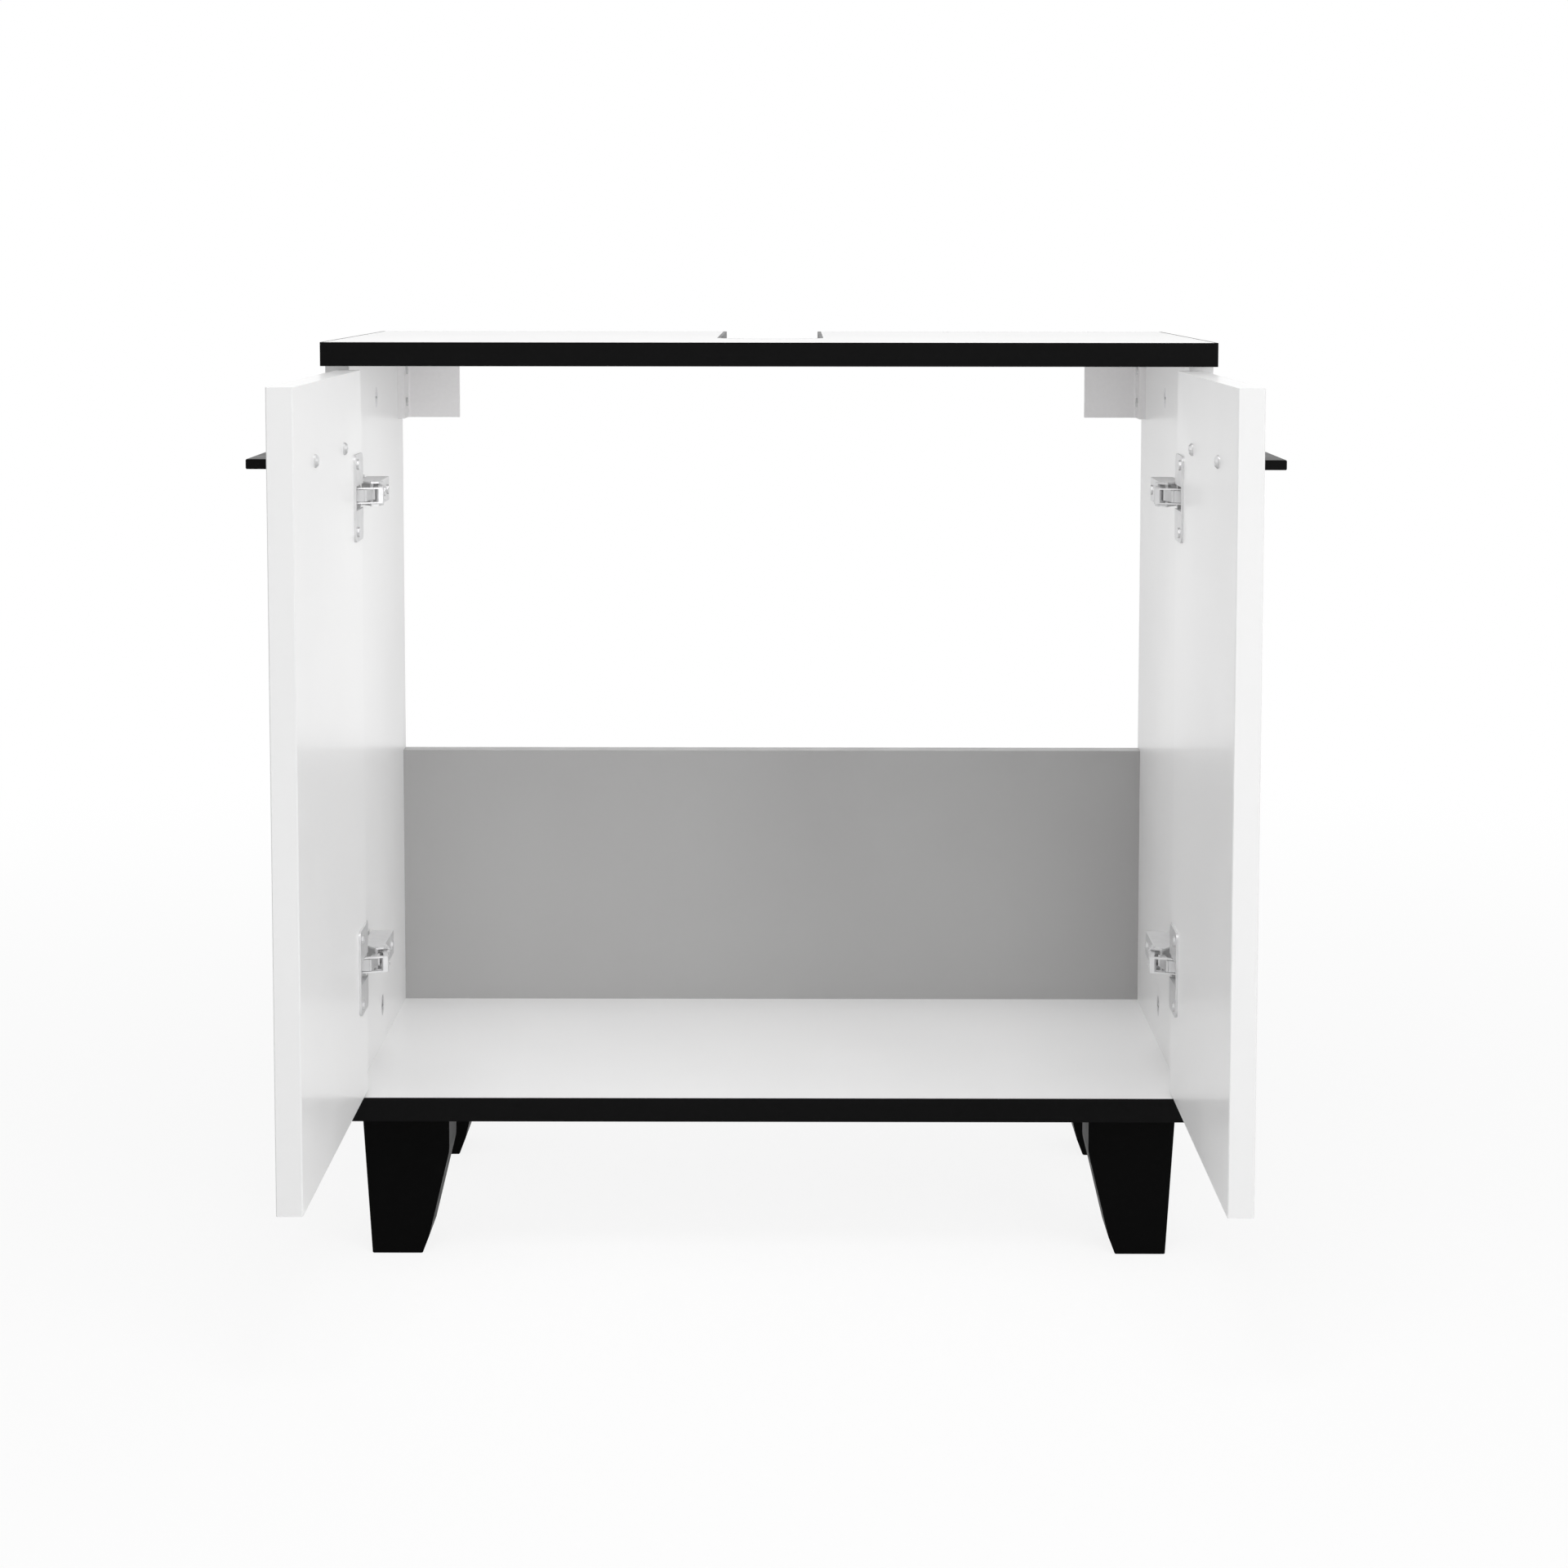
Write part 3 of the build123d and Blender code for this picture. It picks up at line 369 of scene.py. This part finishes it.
def add_cross(bm, points):
    """A tapered cross that reaches from just outside a screw's head into it."""
    low = Vector([min(p[i] for p in points) for i in range(3)])
    high = Vector([max(p[i] for p in points) for i in range(3)])
    centre = (low + high) / 2
    inward = math.copysign(1, centre.x)
    face = low.x if inward > 0 else high.x
    head = [p for p in points if abs(p.x - face) < HEAD_ZONE]
    radius = max(math.hypot(p.y - centre.y, p.z - centre.z) for p in head)
    depth = CROSS_DEPTH * radius
    widening = 1 + (1 - CROSS_TAPER) * CUTTER_CLEAR / depth
    outer = cross_ring(bm, face - inward * CUTTER_CLEAR, centre, radius * widening)
    inner = cross_ring(bm, face + inward * depth, centre, radius * CROSS_TAPER)
    for i in range(len(outer)):
        j = (i + 1) % len(outer)
        bm.faces.new((outer[i], outer[j], inner[j], inner[i]))
    bm.faces.new(outer)
    bm.faces.new(inner)


def new_piece(name, bm, place):
    """An object made from bm, which is used up."""
    mesh = bpy.data.meshes.new(name)
    bm.to_mesh(mesh)
    bm.free()
    piece = bpy.data.objects.new(name, mesh)
    piece.matrix_world = place
    bpy.context.scene.collection.objects.link(piece)
    return piece


def cut(piece, cutter):
    """Takes the cutter's volume out of the piece, and deletes the cutter."""
    modifier = piece.modifiers.new("cross", "BOOLEAN")
    modifier.operation = "DIFFERENCE"
    modifier.solver = "EXACT"
    modifier.object = cutter
    bpy.context.view_layer.update()
    depsgraph = bpy.context.evaluated_depsgraph_get()
    mesh = bpy.data.meshes.new_from_object(piece.evaluated_get(depsgraph))
    piece.modifiers.clear()
    piece.data = mesh
    mesh.shade_flat()
    bpy.data.objects.remove(cutter)


for node, body in CROSSED.items():
    whole = bmesh.new()
    whole.from_mesh(NODES[node].data)
    bmesh.ops.remove_doubles(whole, verts=whole.verts, dist=SAME_POINT)
    crosses = bmesh.new()
    for points in screws_of(whole):
        add_cross(crosses, points)
    bmesh.ops.recalc_face_normals(crosses, faces=crosses.faces)
    place = NODES[node].matrix_world
    screws = new_piece(node + "_crossed", whole, place)
    cut(screws, new_piece(node + "_cutter", crosses, place))
    dress(screws, screw_metal)
    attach(screws, body)
    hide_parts(node)


# ---------------------------------------------------------------------------
# Floor and world: white to the camera and in reflections, apart from the cabinet's
# shadow on the floor. Surfaces are lit by a dimmer world than the one that is seen.
# ---------------------------------------------------------------------------
FLOOR_SIZE = 60
FLOOR_LEVEL = -0.0002       # just under the feet
FLOOR_ALBEDO = 0.9
FLOOR_GLOW_NEAR = 0.86      # share of plain white near the cabinet; the rest takes its shadow
NEAR_END = 0.35             # distance from the middle at which that share starts to grow
FAR_START = 2.2             # and at which the floor is plain white
AMBIENT = 0.48              # strength of the world as it lights surfaces
BACKDROP = 1.0              # and as it is seen


def combined(tree, operation, first, second):
    node = tree.nodes.new("ShaderNodeMath")
    node.operation = operation
    tree.links.new(first, node.inputs[0])
    tree.links.new(second, node.inputs[1])
    return node.outputs[0]


def seen_directly(tree):
    """1 for what the camera sees directly, by reflection or through glass, else 0."""
    path = tree.nodes.new("ShaderNodeLightPath")
    either = combined(tree, "MAXIMUM", path.outputs["Is Camera Ray"], path.outputs["Is Glossy Ray"])
    return combined(tree, "MAXIMUM", either, path.outputs["Is Transmission Ray"])


def pale_floor():
    mat = bpy.data.materials.new("pale_floor")
    mat.use_nodes = True
    tree = mat.node_tree
    tree.nodes.clear()
    out = tree.nodes.new("ShaderNodeOutputMaterial")
    mix = tree.nodes.new("ShaderNodeMixShader")
    diffuse = tree.nodes.new("ShaderNodeBsdfDiffuse")
    diffuse.inputs["Color"].default_value = (*grey(FLOOR_ALBEDO), 1)
    glow = tree.nodes.new("ShaderNodeEmission")
    glow.inputs["Color"].default_value = (1, 1, 1, 1)
    glow.inputs["Strength"].default_value = 1.0
    coord = tree.nodes.new("ShaderNodeTexCoord")
    distance = tree.nodes.new("ShaderNodeVectorMath")
    distance.operation = "LENGTH"
    tree.links.new(coord.outputs["Object"], distance.inputs[0])
    fade = tree.nodes.new("ShaderNodeMapRange")
    fade.interpolation_type = "SMOOTHSTEP"
    fade.inputs["From Min"].default_value = NEAR_END
    fade.inputs["From Max"].default_value = FAR_START
    fade.inputs["To Min"].default_value = FLOOR_GLOW_NEAR
    fade.inputs["To Max"].default_value = 1.0
    tree.links.new(distance.outputs["Value"], fade.inputs["Value"])
    share = combined(tree, "MULTIPLY", seen_directly(tree), fade.outputs["Result"])
    tree.links.new(share, mix.inputs["Fac"])
    tree.links.new(diffuse.outputs[0], mix.inputs[1])
    tree.links.new(glow.outputs[0], mix.inputs[2])
    tree.links.new(mix.outputs[0], out.inputs["Surface"])
    return mat


bpy.ops.mesh.primitive_plane_add(size=FLOOR_SIZE, location=(0, 0, FLOOR_LEVEL))
floor = bpy.context.object
floor.name = "floor"
dress(floor, pale_floor())


def background(tree, strength):
    node = tree.nodes.new("ShaderNodeBackground")
    node.inputs["Color"].default_value = (1, 1, 1, 1)
    node.inputs["Strength"].default_value = strength
    return node.outputs[0]


def studio_world():
    world = bpy.data.worlds.new("studio")
    world.use_nodes = True
    tree = world.node_tree
    tree.nodes.clear()
    out = tree.nodes.new("ShaderNodeOutputWorld")
    mix = tree.nodes.new("ShaderNodeMixShader")
    tree.links.new(seen_directly(tree), mix.inputs["Fac"])
    tree.links.new(background(tree, AMBIENT), mix.inputs[1])
    tree.links.new(background(tree, BACKDROP), mix.inputs[2])
    tree.links.new(mix.outputs[0], out.inputs["Surface"])
    return world


bpy.context.scene.world = studio_world()


# ---------------------------------------------------------------------------
# Lamps
# ---------------------------------------------------------------------------
def soft_light(name, place, aim, size, power):
    """A rectangle of light, size wide and high, that faces aim. power is in watts."""
    data = bpy.data.lights.new(name, "AREA")
    data.shape = "RECTANGLE"
    data.size, data.size_y = size
    data.energy = power
    obj = bpy.data.objects.new(name, data)
    obj.location = place
    obj.rotation_euler = (Vector(aim) - Vector(place)).to_track_quat("-Z", "Y").to_euler()
    bpy.context.scene.collection.objects.link(obj)
    obj.visible_camera = False
    return obj


CABINET_MIDDLE = (0, 0, 0.3)
SIDE_LAMP = (1.6, 1.6)
SIDE_POWER = 3.6

soft_light("right_front", (1.9, -2.5, 0.8), CABINET_MIDDLE, (1.4, 1.4), 27)
soft_light("low_front", (0.0, -1.3, 0.25), (0, 0.2, 0.5), (1.2, 0.4), 1.0)
soft_light("over_front", (0.0, -1.2, 2.2), (0, -0.1, 0.2), (1.2, 0.7), 18)
soft_light("right", (3.0, -0.4, 1.0), CABINET_MIDDLE, SIDE_LAMP, SIDE_POWER)
soft_light("left", (-3.0, -0.4, 1.0), CABINET_MIDDLE, SIDE_LAMP, SIDE_POWER)
soft_light("rear", (0.0, 2.6, 1.6), CABINET_MIDDLE, (2.2, 1.2), SIDE_POWER)
soft_light("under_top", (0.0, 0.02, 0.605), (0, 0.02, 0.0), (0.34, 0.22), 0.27)

# ---------------------------------------------------------------------------
# Camera: a long lens just above the top, tilted a little down, with a small shift
# ---------------------------------------------------------------------------
SENSOR_WIDTH = 36           # mm
LENS = 74.30                # mm
SHIFT_Y = -0.15             # share of the picture's width
CAMERA_X = 0.0158
CAMERA_AHEAD = 2.1631       # in front of the top's front edge
CAMERA_ABOVE = 0.0549       # above the top's upper face
YAW, PITCH, ROLL = 0.0026, -0.0890, -0.0009     # radians

TOP_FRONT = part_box("top_edge_band")[0].y
TOP_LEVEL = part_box("top_panel")[1].z
camera_data = bpy.data.cameras.new("camera")
camera = bpy.data.objects.new("camera", camera_data)
bpy.context.scene.collection.objects.link(camera)
camera_data.sensor_width = SENSOR_WIDTH
camera_data.lens = LENS
camera_data.shift_y = SHIFT_Y
camera_data.clip_start = 0.05
camera_data.clip_end = 100
camera.matrix_world = (
    Matrix.Translation((CAMERA_X, TOP_FRONT - CAMERA_AHEAD, TOP_LEVEL + CAMERA_ABOVE))
    @ Matrix.Rotation(YAW, 4, "Z")
    @ Matrix.Rotation(PITCH, 4, "X")
    @ Matrix.Rotation(ROLL, 4, "Y")
    @ Matrix.Rotation(math.pi / 2, 4, "X")
)
bpy.context.scene.camera = camera
bpy.context.scene.view_settings.view_transform = "Standard"
